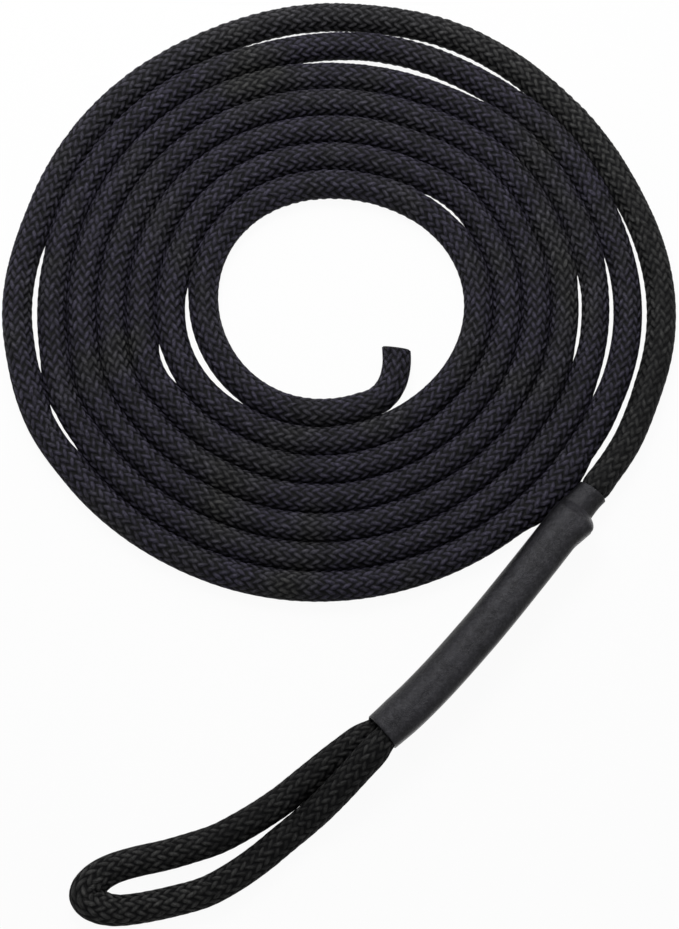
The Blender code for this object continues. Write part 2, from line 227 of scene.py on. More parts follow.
# Pale scuffs, kept to the top, where they add to the painted highlight
SLEEVE_SCUFFS_AND_HIGHLIGHT = (0.075, 0.0740, 0.0828)
MELT = ((0.006, 0.006, 0.007), (0.020, 0.019, 0.021))
CORE_YARN = ((0.020, 0.020, 0.020), (0.045, 0.045, 0.045))
TWINE = ((0.008, 0.008, 0.008), (0.022, 0.022, 0.022))

# Shine of each surface
COIL_SHINE = 0.10
EYE_SHINE = 0.07
SLEEVE_SHINE = 0.09
MELT_SHINE = 0.2

# Studio: a white floor and world, and round lamps, as (name, light on the coil in watts per square
# metre, breadth, bearing, height in degrees, distance)
WHITE = (1.0, 1.0, 1.0, 1.0)
FLOOR_COLOUR = (0.80, 0.80, 0.80, 1.0)
FLOOR_HALF = 4.0
FLOOR_DROP = 0.1 * MM
FLOOR_SEEN = 0.95
WORLD_LIGHT = 0.12
LAMPS = (
    ("broad", 2.1, 0.6, 96.0, 51.0, 0.45),
    ("narrow", 1.2, 0.19, 112.0, 63.0, 0.45),
)

FULL_RADIUS = ROPE_RADIUS * FULLNESS
NECK_HEIGHT = NECK_RADIUS + FIT_GAP + SLEEVE_WALL
PAIR_HEIGHT = PAIR_RADIUS + FIT_GAP + SLEEVE_WALL
FULL_FROM = NECK_LENGTH + SHOULDER_LENGTH
EDGES = (-HALF_BOUND - BOUND_RAMP, -HALF_BOUND, HALF_BOUND, HALF_BOUND + BOUND_RAMP)
PAIR_PLACES = sorted([FULL_FROM, FULL_FROM + PUSH_LENGTH, sum(BINDINGS) / 2, SPLIT_AT,
                      *(binding + edge for binding in BINDINGS for edge in EDGES)])


# Lines


def outward_at(bearing):
    """Level direction from the middle of the coil at a bearing."""
    angle = math.radians(bearing)
    return np.array((math.cos(angle), math.sin(angle), 0.0))


def limit(share):
    """A share held between nought and one."""
    return min(max(share, 0.0), 1.0)


def blend(first, last, share):
    """Value part of the way from first to last."""
    return first + (last - first) * limit(share)


def curve(knots, spacing):
    """Closely spaced rows on a smooth line through rows of values that begin with a point."""
    knots = np.asarray(knots, float)
    spans = np.linalg.norm(np.diff(knots[:, :3], axis=0), axis=1)
    places = np.concatenate(([0.0], np.cumsum(spans)))
    slopes = np.diff(knots, axis=0) / spans[:, None]
    weighed = slopes[:-1] * spans[1:, None] + slopes[1:] * spans[:-1, None]
    middle = weighed / (spans[:-1] + spans[1:])[:, None]
    tangents = np.vstack((slopes[:1], middle, slopes[-1:]))
    wanted = np.linspace(0, places[-1], round(places[-1] / spacing) + 1)
    span = np.clip(np.searchsorted(places, wanted, side="right") - 1, 0, len(spans) - 1)
    length = spans[span][:, None]
    share = ((wanted - places[span]) / spans[span])[:, None]
    rest = 1 - share
    near = (1 + 2 * share) * rest ** 2 * knots[span] + share * rest ** 2 * length * tangents[span]
    far = share * share * (3 - 2 * share) * knots[span + 1]
    far -= share * share * rest * length * tangents[span + 1]
    return near + far


def lengths(points):
    """Distance along a line at each of its points."""
    return np.concatenate(([0.0], np.cumsum(np.linalg.norm(np.diff(points, axis=0), axis=1))))


def along_line(places, rows, wanted):
    """Rows read off at any distances along a line."""
    return np.stack([np.interp(wanted, places, column) for column in rows.T], axis=-1)


def unit(vectors):
    """The same directions, one metre long."""
    return vectors / np.linalg.norm(vectors, axis=-1, keepdims=True)


# Route of the rope


def nearest_pass(turn, bearing):
    """The rope's nearest pass of a bearing: how many turns lie inside it, and the degrees to it."""
    centre = ((START_BEARING - bearing) % 360) / 360
    passes = round(turn - centre)
    return passes, abs(turn - centre - passes) * 360


def slack_at(turn):
    """How far the loose places inside it push the rope outward."""
    total = 0.0
    for turns_inside, bearing, spread, width in LOOSE_PLACES:
        passes, offset = nearest_pass(turn, bearing)
        if passes >= turns_inside and offset < spread:
            total += width * MM * math.cos(math.pi / 2 * offset / spread) ** 2
    return total


def spacing_at(bearing):
    """Distance from one turn to the next."""
    lean = (1 + math.cos(math.radians(bearing - EASE_BEARING))) / 2
    return 2 * ROPE_RADIUS + LAY_GAP + EASE * lean


def reach(turn, outer):
    """How far the rope's inner or outer side swells to meet the next turn, less where a slit shows."""
    gap = slack_at(turn + outer) - slack_at(turn + outer - 1)
    swell = np.interp(gap, (0.0, PRESSED_GAP, OPEN_GAP), (PRESS, PRESS + PRESSED_GAP / 2, 0.0))
    for turns_inside, bearing, spread, opening in SLITS:
        passes, offset = nearest_pass(turn, bearing)
        if passes == turns_inside - outer:
            swell -= opening * MM / 2 * limit(SLIT_STEEPNESS * (1 - offset / spread))
    return swell


def coil_row(step):
    """Row for the rope at a step round the coil, as wide as the turns leave room for."""
    turn = step / POINTS_PER_TURN
    bearing = START_BEARING - 360 * turn
    inner, outer = reach(turn, 0), reach(turn, 1)
    radius = INNER_RADIUS + spacing_at(bearing) * turn + (outer - inner) / 2
    radius += OVAL * math.cos(2 * math.radians(bearing))
    radius += LOBES * math.cos(3 * math.radians(bearing - LOBE_BEARING)) + slack_at(turn)
    centre = COIL_MIDDLE + outward_at(bearing) * radius + (0, 0, LYING)
    return (*centre, (spacing_at(bearing) + inner + outer) / 2, FULL_RADIUS)


def beside_spine(distance, side, height):
    """Point beside the handle's middle line, at a distance from the sleeve's upper mouth."""
    wanted = np.array([LEAD_LENGTH + distance])
    place = along_line(spine_places, spine, wanted)[0]
    heading = along_line(spine_places, spine_heading, wanted)[0]
    return place + np.array((-heading[1], heading[0], 0.0)) * side + (0, 0, height)


def pair_centre(distance, tail):
    """Middle of one of the two ropes in the sleeve, as (side, height)."""
    spacing = 2 * PAIR_RADIUS + LAY_GAP
    side = spacing * math.cos(PAIR_LEAN) / 2
    if tail:
        push = blend(TAIL_PUSH, 0, (distance - FULL_FROM) / PUSH_LENGTH)
        return side + push, PAIR_HEIGHT + spacing * math.sin(PAIR_LEAN)
    return -side, PAIR_HEIGHT


def pair_row(distance, tail):
    """Row for one of the ropes under the wide part of the sleeve, less where it is bound."""
    nearest = min(abs(distance - centre) for centre in BINDINGS)
    radius = blend(BOUND_RADIUS, PAIR_RADIUS, (nearest - HALF_BOUND) / BOUND_RAMP)
    return (*beside_spine(distance, *pair_centre(distance, tail)), radius, radius)


def eye_row(distance, opening, tail):
    """Row for one of the ropes of the eye, at a distance from the sleeve's lower mouth."""
    settled = distance / SETTLE_LENGTH
    lean = blend(PAIR_LEAN, 0, settled)
    radius = blend(PAIR_RADIUS, ROPE_RADIUS, distance / SWELL_LENGTH)
    height = blend(PAIR_HEIGHT, LYING, settled)
    spacing = 2 * radius + LAY_GAP + opening
    side = spacing * math.cos(lean) / 2
    if tail:
        height += spacing * math.sin(lean)
    full = radius * blend(1.0, FULLNESS, distance / SWELL_LENGTH)
    centre = beside_spine(SLEEVE_LENGTH + distance, side if tail else -side, height)
    return (*centre, full, full)


def bight_row(degrees):
    """Row for the turn at the far end of the eye, at an angle round its outer edge."""
    angle = math.radians(degrees)
    out = unit(np.array((math.cos(angle) / BIGHT_LENGTH, math.sin(angle) / BIGHT_HALF)))
    edge = np.array((BIGHT_LENGTH * math.cos(angle), BIGHT_HALF * math.sin(angle)))
    half = FULL_RADIUS + BUNCHING * math.cos(angle) ** 2
    ahead, side = edge - half * out
    height = FULL_RADIUS + BUNCHED_HEIGHT * BUNCHING * math.cos(angle) ** 2
    return (*beside_spine(SLEEVE_LENGTH + BIGHT_DISTANCE + ahead, -side, LYING), half, height)


def lead_row(distance, share):
    """Row for the rope between the coil and the sleeve, raised by a share of the way."""
    return (*beside_spine(distance, 0, blend(LYING, NECK_HEIGHT, share)), FULL_RADIUS, FULL_RADIUS)


def neck_row(distance):
    """Row for the single rope in the sleeve's neck."""
    return (*beside_spine(distance, 0, NECK_HEIGHT), NECK_RADIUS, NECK_RADIUS)


# Half steps, so that the coil's rows lie close enough for its slits
coil_rows = [coil_row(half_step / 2) for half_step in range(2 * COIL_STEPS + 1)]
coil_start, coil_end = np.array(coil_rows[0][:3]), np.array(coil_rows[-1][:3]) - (0, 0, LYING)
end_bearing = START_BEARING - 360 * COIL_STEPS / POINTS_PER_TURN
ahead, outward = outward_at(end_bearing - 90), outward_at(end_bearing)
spine = curve([coil_end + ahead * far * MM + outward * wide * MM for far, wide in SPINE], SPINE_SPACING)
spine_places = lengths(spine)
spine_heading = unit(np.gradient(spine, axis=0))

back, inward = -outward_at(START_BEARING - 90), -outward_at(START_BEARING)
free_points = [coil_start + back * far * MM + inward * deep * MM for far, deep in FREE_END]
free_rows = [(*point, FULL_RADIUS, FULL_RADIUS) for point in free_points]
lead_shares = [step / LEAD_STEPS for step in range(1, LEAD_STEPS)]
lead_rows = [lead_row(-LEAD_LENGTH * (1 - share), share) for share in lead_shares]
lead_rows.append(lead_row(-LEAD_STOP, 1.0))
neck_rows = [neck_row(distance) for distance in (NECK_START, NECK_LENGTH)]
standing_rows = lead_rows + neck_rows + [pair_row(distance, False) for distance in PAIR_PLACES]
settling = [(SETTLE_LENGTH * step / SETTLE_STEPS, 0) for step in range(SETTLE_STEPS + 1)]
eye_route = settling + [(distance * MM, opening * MM) for distance, opening in EYE_ROUTE]
eye_rows = [eye_row(*stage, False) for stage in eye_route]
eye_rows += [bight_row(degrees) for degrees in BIGHT_ANGLES]
eye_rows += [eye_row(*stage, True) for stage in reversed(eye_route)]
eye_rows.append(pair_row(SPLIT_AT, True))
tail_places = [distance for distance in reversed(PAIR_PLACES) if FULL_FROM < distance < SPLIT_AT]
tail_rows = [pair_row(distance, True) for distance in (*tail_places, TAIL_TIP)]

knots = np.array(free_rows + coil_rows + standing_rows + eye_rows + tail_rows)
rope = curve(knots, ROPE_SPACING)
rope_places = lengths(rope[:, :3])
rope_heading = unit(np.gradient(rope[:, :3], axis=0))
rope_length = rope_places[-1]


def place_of(knot):
    """Distance along the rope of one of its knots."""
    return rope_places[np.argmin(np.linalg.norm(rope[:, :3] - knots[knot, :3], axis=1))]


def middle_at(places):
    """Points on the rope's middle line at distances along it."""
    return along_line(rope_places, rope[:, :3], places)


def around_rope(places, angle, height):
    """Points at distances along the rope, turned round it, at a share of its radius."""
    row = along_line(rope_places, rope, places)
    heading = unit(along_line(rope_places, rope_heading, places))
    level = np.zeros(heading.shape[:-1])
    side = unit(np.stack((-heading[..., 1], heading[..., 0], level), axis=-1))
    up = np.cross(heading, side)
    across = (row[..., 3] * height * np.cos(angle))[..., None]
    upright = (row[..., 4] * height * np.sin(angle))[..., None]
    points = row[..., :3] + side * across + up * upright
    points[..., 2] = np.maximum(points[..., 2], 0.0)
    return points


def cut_at(angle, share=1.0):
    """Where the free end is cut, at an angle round the rope and a share of its radius."""
    return CUT_DEPTH + share * (CUT_LEAN * np.sin(angle) + CUT_SLANT * np.cos(angle))


def stopped(beyond):
    """Distances that run evenly into a stop at nought."""
    return (beyond + np.sqrt(beyond ** 2 + CUT_EASE ** 2)) / 2


# Meshes


def finish_piece(name, points, corners, counts, uvs, surface, slot_name):
    """An object on the frame's one body from flat arrays of points, face corners and face sizes."""
    mesh = bpy.data.meshes.new(name)
    mesh.vertices.add(len(points))
    mesh.vertices.foreach_set("co", np.asarray(points, np.float32).ravel())
    mesh.loops.add(len(corners))
    mesh.loops.foreach_set("vertex_index", np.asarray(corners, np.int32))
    mesh.polygons.add(len(counts))
    starts = np.concatenate(([0], np.cumsum(counts)[:-1]))
    mesh.polygons.foreach_set("loop_start", starts.astype(np.int32))
    mesh.update(calc_edges=True)
    for layer, values in uvs.items():
        made = mesh.uv_layers.new(name=layer)
        made.data.foreach_set("uv", np.asarray(values, np.float32).ravel())
    mesh.shade_smooth()
    mesh.materials.append(surface)
    piece = bpy.data.objects.new(name, mesh)
    bpy.context.scene.collection.objects.link(piece)
    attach(piece, "root")
    return piece


def sharpen(mesh, ring):
    """A crisp edge along a ring of points."""
    ends = np.zeros(len(mesh.edges) * 2, np.int32)
    mesh.edges.foreach_get("vertices", ends)
    on_ring = np.isin(ends.reshape(-1, 2), ring).all(axis=1)
    layer = mesh.attributes.get("sharp_edge") or mesh.attributes.new("sharp_edge", "BOOLEAN", "EDGE")
    held = np.zeros(len(mesh.edges), bool)
    layer.data.foreach_get("value", held)
    layer.data.foreach_set("value", held | on_ring)


def mark_points(mesh, label, values):
    """A number at every point, for the material to read."""
    layer = mesh.attributes.new(label, "FLOAT", "POINT")
    layer.data.foreach_set("value", np.asarray(values, np.float32).ravel())


def face_steps(rows, turn):
    """Steps round and along a tube at the four corners of each of its faces."""
    row, side = np.meshgrid(np.arange(rows), np.arange(turn), indexing="ij")
    around = np.stack((side, side + 1, side + 1, side), axis=-1)
    along = np.stack((row, row, row + 1, row + 1), axis=-1)
    return around, along


def tube_faces(count, turn, flipped=False):
    """Corners and sizes of the faces of a tube whose ends are fans, each round a point after the rings."""
    around, along = face_steps(count - 1, turn)
    quads = along * turn + around % turn
    side = np.arange(turn)
    after = (side + 1) % turn
    last_ring, first_cap, last_cap = (count - 1) * turn, count * turn, count * turn + 1
    fans = np.concatenate((
        np.stack((np.full(turn, first_cap), after, side), axis=-1),
        np.stack((np.full(turn, last_cap), last_ring + side, last_ring + after), axis=-1),
    ))
    if flipped:
        quads, fans = quads[..., ::-1], fans[:, ::-1]
    corners = np.concatenate((quads.ravel(), fans.ravel()))
    counts = np.concatenate((np.full((count - 1) * turn, 4), np.full(2 * turn, 3)))
    return corners, counts


# Materials


class Paint:
    """A material or world under construction, with short ways to add and join its nodes."""

    def __init__(self, name, kind="materials", shader="Principled BSDF"):
        self.made = getattr(bpy.data, kind).new(name)
        self.made.use_nodes = True
        self.tree = self.made.node_tree
        self.shader = self.tree.nodes[shader]

    def node(self, kind, **settings):
        made = self.tree.nodes.new(kind)
        for key, value in settings.items():
            setattr(made, key, value)
        return made

    def link(self, source, target):
        self.tree.links.new(source, target)

    def feed(self, socket, value):
        """An output or a plain value into a socket."""
        if hasattr(value, "is_linked"):
            self.link(value, socket)
        else:
            socket.default_value = value

    def math(self, operation, first, second=0.0):
        made = self.node("ShaderNodeMath", operation=operation)
        self.feed(made.inputs[0], first)
        self.feed(made.inputs[1], second)
        return made.outputs[0]

    def sum(self, first, first_share, second, second_share):
        """Two values added up, each by its share."""
        return self.math("ADD", self.math("MULTIPLY", first, first_share),
                         self.math("MULTIPLY", second, second_share))

    def mix(self, share, first, second):
        """A colour between two."""
        made = self.node("ShaderNodeMix", data_type="RGBA")
        self.feed(made.inputs[0], share)
        for socket, value in ((made.inputs[6], first), (made.inputs[7], second)):
            self.feed(socket, value if hasattr(value, "is_linked") else (*value, 1.0))
        return made.outputs[2]

    def spread(self, value, source, target=(0.0, 1.0)):
        """A value's range stretched to another, and held there."""
        made = self.node("ShaderNodeMapRange")
        for socket, number in zip(made.inputs, (value, *source, *target)):
            self.feed(socket, number)
        return made.outputs[0]

    def noise(self, vector, scale, detail, roughness=0.5):
        made = self.node("ShaderNodeTexNoise")
        self.link(vector, made.inputs["Vector"])
        made.inputs["Scale"].default_value = scale
        made.inputs["Detail"].default_value = detail
        made.inputs["Roughness"].default_value = roughness
        return made.outputs["Fac"]

    def stretch(self, vector, scale):
        made = self.node("ShaderNodeMapping")
        self.link(vector, made.inputs["Vector"])
        made.inputs["Scale"].default_value = scale
        return made.outputs[0]

    def bump(self, height, distance, strength, below=None):
        """A bumpy normal, on top of another where one is given."""
        made = self.node("ShaderNodeBump")
        self.link(height, made.inputs["Height"])
        made.inputs["Distance"].default_value = distance
        made.inputs["Strength"].default_value = strength
        if below is not None:
            self.link(below, made.inputs["Normal"])
        return made.outputs[0]

    def place(self):
        return self.node("ShaderNodeTexCoord").outputs["Object"]

    def value(self, label):
        """A number marked on the points of a piece."""
        return self.node("ShaderNodeAttribute", attribute_name=label).outputs["Fac"]

    def seen(self):
        """1 where it is looked at, straight or in gloss and glass, and 0 where it only gives light."""
        path = self.node("ShaderNodeLightPath").outputs
        clear = self.math("MAXIMUM", path["Is Glossy Ray"], path["Is Transmission Ray"])
        return self.math("MAXIMUM", path["Is Camera Ray"], clear)

    def set(self, **values):
        """The shader's own sockets, by name."""
        for label, value in values.items():
            self.feed(self.shader.inputs[label.replace("_", " ")], value)

    def show(self, share, other, output):
        """Another shader instead of this one, by a share."""
        mixed = self.node("ShaderNodeMixShader")
        self.link(share, mixed.inputs[0])
        self.link(self.shader.outputs[0], mixed.inputs[1])
        self.link(other.outputs[0], mixed.inputs[2])
        self.link(mixed.outputs[0], self.tree.nodes[output].inputs["Surface"])


def braid_material(name, shine):
    """Dyed yarns: fine lines along every strand, painted shade deep in the weave, painted light and shade by
    place, and faint patches of tint.
    """
    paint = Paint(name)
    yarn = paint.node("ShaderNodeUVMap", uv_map="Yarn").outputs[0]
    place = paint.place()
    lines = paint.noise(paint.stretch(yarn, (1.1, 9.0, 1.0)), scale=1.0, detail=3.0, roughness=0.6)
    fibres = paint.noise(paint.stretch(yarn, (2.5, 30.0, 1.0)), scale=1.0, detail=2.0, roughness=0.6)
    specks = paint.noise(place, scale=1100.0, detail=2.0, roughness=0.6)
    patches = paint.spread(paint.noise(place, scale=40.0, detail=2.0), (0.30, 0.50))
    relief, tone, tint = (paint.value(label) for label in ("relief", "tone", "tint"))

    blue = paint.math("MULTIPLY", patches, tint)
    streaks = paint.spread(paint.sum(lines, 0.5, specks, 0.5), (0.36, 0.66))
    worn = paint.mix(streaks, paint.mix(blue, *DARK_YARN), paint.mix(blue, *PALE_YARN))
    # Grain tone at random, plus painted shade towards the eye and painted light at the bight and on the
    # outer turn
    toned_and_shaded = paint.mix(tone, worn, GRAIN_TONE_AND_SHADE)
    # Painted shade: the yarn turns near black where it lies deep in the weave, where shade falls between the
    # strands
    deep = paint.mix(paint.spread(relief, (0.35, 0.92)), PAINTED_WEAVE_SHADE, toned_and_shaded)
    ridges = paint.sum(lines, 0.7, fibres, 0.3)
    paint.set(Base_Color=deep, Roughness=paint.spread(fibres, (0.3, 0.7), (0.50, 0.72)))
    paint.set(Specular_IOR_Level=shine, Normal=paint.bump(ridges, 0.25 * MM, 0.8))
    return paint.made


def sleeve_material():
    """Shrunk tube: matte dark grey with a fine grain and soft mottling, with a painted highlight and pale
    scuffs along its top.
    """
    paint = Paint("shrink_look")
    place = paint.place()
    grain = paint.noise(place, scale=2600.0, detail=3.0, roughness=0.6)
    mottle = paint.noise(place, scale=240.0, detail=4.0, roughness=0.65)
    scuffs = paint.noise(place, scale=900.0, detail=4.0, roughness=0.7)
    # Painted highlight: the top of each ring is paler than the flanks, and the scuffs there paler still
    high = paint.spread(paint.value("ridge"), (0.74, 0.98))
    clouds = paint.spread(mottle, (0.33, 0.67))
    base = paint.mix(high, paint.mix(clouds, *SLEEVE_FLANKS), paint.mix(clouds, *SLEEVE_PAINTED_HIGHLIGHT))
    # Scuffs kept to the top, where they are part of the painted highlight
    worn = paint.math("MULTIPLY", paint.spread(scuffs, (0.44, 0.72), (0.0, 0.6)), high)
    fine = paint.bump(grain, 0.2 * MM, 0.9)
    paint.set(Base_Color=paint.mix(worn, base, SLEEVE_SCUFFS_AND_HIGHLIGHT))
    paint.set(Roughness=paint.spread(mottle, (0.3, 0.7), (0.27, 0.35)))
    paint.set(Specular_IOR_Level=SLEEVE_SHINE, Normal=paint.bump(mottle, 0.5 * MM, 0.8, fine))
    return paint.made


def melt_material():
    """Yarn melted together: dark, smooth and a little uneven."""
    paint = Paint("melt_look")
    lumps = paint.noise(paint.place(), scale=900.0, detail=3.0, roughness=0.6)
    paint.set(Base_Color=paint.mix(lumps, *MELT))
    paint.set(Roughness=paint.spread(lumps, (0.3, 0.7), (0.40, 0.60)))
    paint.set(Specular_IOR_Level=MELT_SHINE, Normal=paint.bump(lumps, 0.2 * MM, 0.8))
    return paint.made


def thread_material(name, dark, pale, scale):
    """Plain yarn or thread with fine streaks."""
    paint = Paint(name)
    streaks = paint.noise(paint.place(), scale=scale, detail=3.0, roughness=0.6)
    paint.set(Base_Color=paint.mix(streaks, dark, pale))
    paint.set(Roughness=paint.spread(streaks, (0.3, 0.7), (0.6, 0.85)))
    paint.set(Normal=paint.bump(streaks, 0.1 * MM, 0.7))
    return paint.made


# Rope


def crown(offset, half):
    """Height of a strand's rounded back: 1 along its middle, 0 at its edges and less beyond them."""
    offset = (offset + 0.5) % 1.0 - 0.5
    return np.maximum(-1.0, 1.0 - (offset / half) ** 2)


def weave(lane, column, local):
    """How deep the braid lies below its highest points, and a tone for each grain.

    Each column's own strands ride over those that cross beneath, and each grain has a size of its own.
    """
    rising = column % 2 == 0
    early = np.where(rising, QUARTER, 1 - QUARTER)
    way = np.where(rising, 1, -1)
    grain = np.floor(lane - early).astype(int) % GRAINS
    chance = np.random.default_rng(GRAIN_SEED).random((4, COLUMNS, GRAINS))
    tone, lift, girth, shift = chance[:, column, grain]
    swell = np.cos(math.pi * (local - 0.5))
    own = lane - (1 - early) - STRAY * (shift - 0.5) * swell
    other = lane + way * 2 * SLANT * local - early
    half = STRAND_HALF * (1 + GIRTH_SPREAD * (girth - 0.5) * swell)
    upper = STRAND_RISE * swell * (LOWEST_LIFT + LIFT_SPREAD * lift) + STRAND_CROWN * crown(own, half)
    lower = STRAND_CROWN * crown(other, STRAND_HALF) - STRAND_RISE * swell
    depth = np.clip(STRAND_RISE + STRAND_CROWN - np.maximum(upper, lower), 0.0, DEEPEST)
    return depth, tone


def braid_maps(first_ring, count, turn):
    """Yarn map: along the strand and across it. Picture map: strips of rope side by side, and both ends."""
    around, along = face_steps(count - 1, turn)
    yarn = np.stack((around / ALONG, (along + first_ring) / ACROSS), axis=-1).reshape(-1, 2)
    strips = max(1, round(math.sqrt((count - 1) * PITCH / ACROSS / (math.tau * ROPE_RADIUS))))
    per_strip = math.ceil((count - 1) / strips)
    strip = along[..., :1] // per_strip
    left = (strip + STRIP_MARGIN + (1 - 2 * STRIP_MARGIN) * around / turn) / strips
    up = STRIP_HEIGHT * (along - strip * per_strip) / per_strip
    picture = [np.stack((left, up), axis=-1).reshape(-1, 2)]
    side = np.arange(turn)
    angle = math.tau * np.stack((side * 0, side, side + 1), axis=-1) / turn
    radius = DISC_RADIUS * np.array((0, 1, 1))
    disc = np.stack((radius * np.cos(angle), radius * np.sin(angle)), axis=-1).reshape(-1, 2)
    picture += [disc + centre for centre in DISC_CENTRES]
    ends = np.zeros((len(DISC_CENTRES) * len(disc), 2))
    return {"OFBake": np.concatenate(picture), "Yarn": np.concatenate((yarn, ends))}


def braid_piece(name, start, stop, surface, *nodes, open_start=True, open_stop=True):
    """A stretch of the braided cover between two distances along the rope."""
    rings = np.arange(round(start / PITCH * ACROSS), round(stop / PITCH * ACROSS) + 1)
    count, turn = len(rings), COLUMNS * ALONG
    ring, corner = np.meshgrid(rings, np.arange(turn), indexing="ij")
    lane = ring / ACROSS
    column, local = corner // ALONG, (corner % ALONG) / ALONG

    # Rings run zigzag along the strands: up one column and down the next
    zigzag = SLANT * (np.where(column % 2 == 0, local, 1 - local) - 0.5)
    places = (lane + zigzag) * PITCH
    twist = sum(size * np.sin(places * rate + phase) for size, rate, phase in TWISTS)
    angle = math.tau * corner / turn + twist
    if not open_start:
        places = cut_at(angle) + stopped(places - cut_at(angle))
    if not open_stop:
        places = stop - stopped(stop - places)

    # The weave is shallower on the flanks, where turns press together
    depth, tone = weave(lane, column, local)
    pressed = 1 - FLANK_PRESS * np.cos(angle) ** FLANK_SHARPNESS
    points = around_rope(places, angle, 1 - depth * pressed / FULL_RADIUS).reshape(-1, 3)
    ends = middle_at(np.array([places[0].mean(), places[-1].mean()]))
    points = np.concatenate((points, ends))
    maps = braid_maps(rings[0], count, turn)
    piece = finish_piece(name, points, *tube_faces(count, turn), maps, surface, "braid")
    sharpen(piece.data, np.arange(turn))
    sharpen(piece.data, (count - 1) * turn + np.arange(turn))

    # How far each point stands out of the weave, for the painted shade in its depths; a tone for each grain,
    # with painted light and shade added by place; and where the dye is bluish
    tone = np.interp(places, LIGHT_AND_SHADE_PLACES, PAINTED_LIGHT_AND_SHADE) + TONE_SPREAD * (tone - 0.5)
    tint = np.interp(places, PLAIN_PLACES, (1.0, 0.0))
    for label, values in (("relief", 1 - depth / DEEPEST), ("tone", tone), ("tint", tint)):
        mark_points(piece.data, label, np.append(values, (0.0, 0.0)))
    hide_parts(*nodes)
    return piece


braid_look = braid_material("braid_look", COIL_SHINE)
eye_look = braid_material("eye_look", EYE_SHINE)
coil_knot = len(free_rows)
lead_knot = coil_knot + len(coil_rows) - 1
eye_knot = lead_knot + len(standing_rows) + 1
tail_knot = eye_knot + len(eye_rows) - 1
coil_stop, lead_stop, eye_stop = (place_of(knot) for knot in (lead_knot, eye_knot, tail_knot))
tail_stop = rope_length - TAIL_PROUD

cuts = np.linspace(0.0, coil_stop, COIL_PIECES + 1)
for number, (start, stop) in enumerate(zip(cuts, cuts[1:]), 1):
    nodes = ("free_end", "coil") if number == 1 else ("coil",)
    piece = braid_piece(f"rope_coil_{number}", start, stop, braid_look, *nodes, open_start=number > 1)
piece = braid_piece("rope_lead", coil_stop, lead_stop, braid_look, "standing_part")
piece = braid_piece("rope_eye", lead_stop, eye_stop, eye_look, "eye")
piece = braid_piece("rope_tail", eye_stop, tail_stop, eye_look, "tail", open_stop=False)


# Sleeve


def oval(angle, across, up, fullness):
    """Distance from the middle of an oval to its edge at an angle; above 2 its corners fill out."""
    wide, high = np.abs(np.cos(angle) / across), np.abs(np.sin(angle) / up)
    return (wide ** fullness + high ** fullness) ** (-1 / fullness)


def sleeve_ring(distance, wall):
    """Outline of the sleeve at a distance from its upper mouth, a wall outside the ropes."""
    share = 1 - (1 - limit((distance - NECK_LENGTH) / SHOULDER_LENGTH)) ** SHOULDER_CURVE
    neck = np.array((0, NECK_HEIGHT))
    centres = np.array((
        blend(neck, np.array(pair_centre(distance, False)), distance / FULL_FROM),
        blend(neck, np.array(pair_centre(distance, True)), share),
    ))
    radius = blend(NECK_RADIUS, PAIR_RADIUS, share) + FIT_GAP + wall
    radius += FLARE * math.exp(-max(distance, 0.0) / FLARE_LENGTH)
    radius -= NECK_WAIST * math.sin(math.pi * limit(distance / NECK_LENGTH))
    radius -= blend(0.0, GRIP, (distance - SLEEVE_LENGTH) / GRIP_LENGTH + 1)
    apart = centres[1] - centres[0]
    angle = np.linspace(-math.pi / 2, 3 * math.pi / 2, OUTLINE_STEPS + 1)
    turned = angle - math.atan2(apart[1], apart[0])
    fullness = blend(ROUND_SECTION, FULL_SECTION, share)
    leaning = oval(turned, radius + np.linalg.norm(apart) / 2, radius + WIDENING * share, fullness)
    across, up = np.max(leaning * np.cos(angle)), np.max(leaning * np.sin(angle))
    more = oval(angle, across, up, ROUND_SECTION) - leaning
    away = leaning + share * (more + np.hypot(more, OVAL_JOIN)) / 2
    loop = centres.mean(axis=0) + away[:, None] * np.stack((np.cos(angle), np.sin(angle)), axis=-1)
    places = lengths(loop)
    around = along_line(places, loop, np.linspace(0, places[-1], SLEEVE_SIDES + 1)[:-1])
    return np.array([beside_spine(distance, side, height) for side, height in around])


def sleeve_piece(surface):
    """The shrunk tube, with its wall showing at both mouths."""
    shoulder = np.arange(NECK_LENGTH - BEFORE_SHOULDER, FULL_FROM + AFTER_SHOULDER, SHOULDER_SPACING)
    stations = np.concatenate((np.arange(0, SLEEVE_LENGTH, RING_SPACING), shoulder, [SLEEVE_LENGTH]))
    stations = np.unique(stations.round(6))
    outer = [sleeve_ring(distance, SLEEVE_WALL) for distance in stations]
    inner = [sleeve_ring(distance, INNER_SKIN) for distance in stations]
    upper_lip = sleeve_ring(-LIP_BULGE, LIP_SHARE * SLEEVE_WALL)
    lower_lip = sleeve_ring(SLEEVE_LENGTH + LIP_BULGE, LIP_SHARE * SLEEVE_WALL)
    rings = [upper_lip, *outer, lower_lip, *inner[::-1]]
    points = np.concatenate(rings)
    points[:, 2] = np.maximum(points[:, 2], 0.0)

    # The last ring leads back to the first
    count, turn = len(rings), SLEEVE_SIDES
    around, along = face_steps(count, turn)
    corners = (along % count * turn + around % turn).ravel()
    maps = {"OFBake": np.stack((around / turn, along / count), axis=-1).reshape(-1, 2)}
    piece = finish_piece("sleeve_tube", points, corners, np.full(count * turn, 4), maps, surface, "shrink")

    # How near each point is to the top of its ring, where the highlight is painted
    heights = points[:, 2].reshape(count, turn)
    low, high = heights.min(axis=1, keepdims=True), heights.max(axis=1, keepdims=True)
    mark_points(piece.data, "ridge", (heights - low) / (high - low))
    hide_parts("sleeve")
    return piece


sleeve_piece(sleeve_material())


# Melted ends


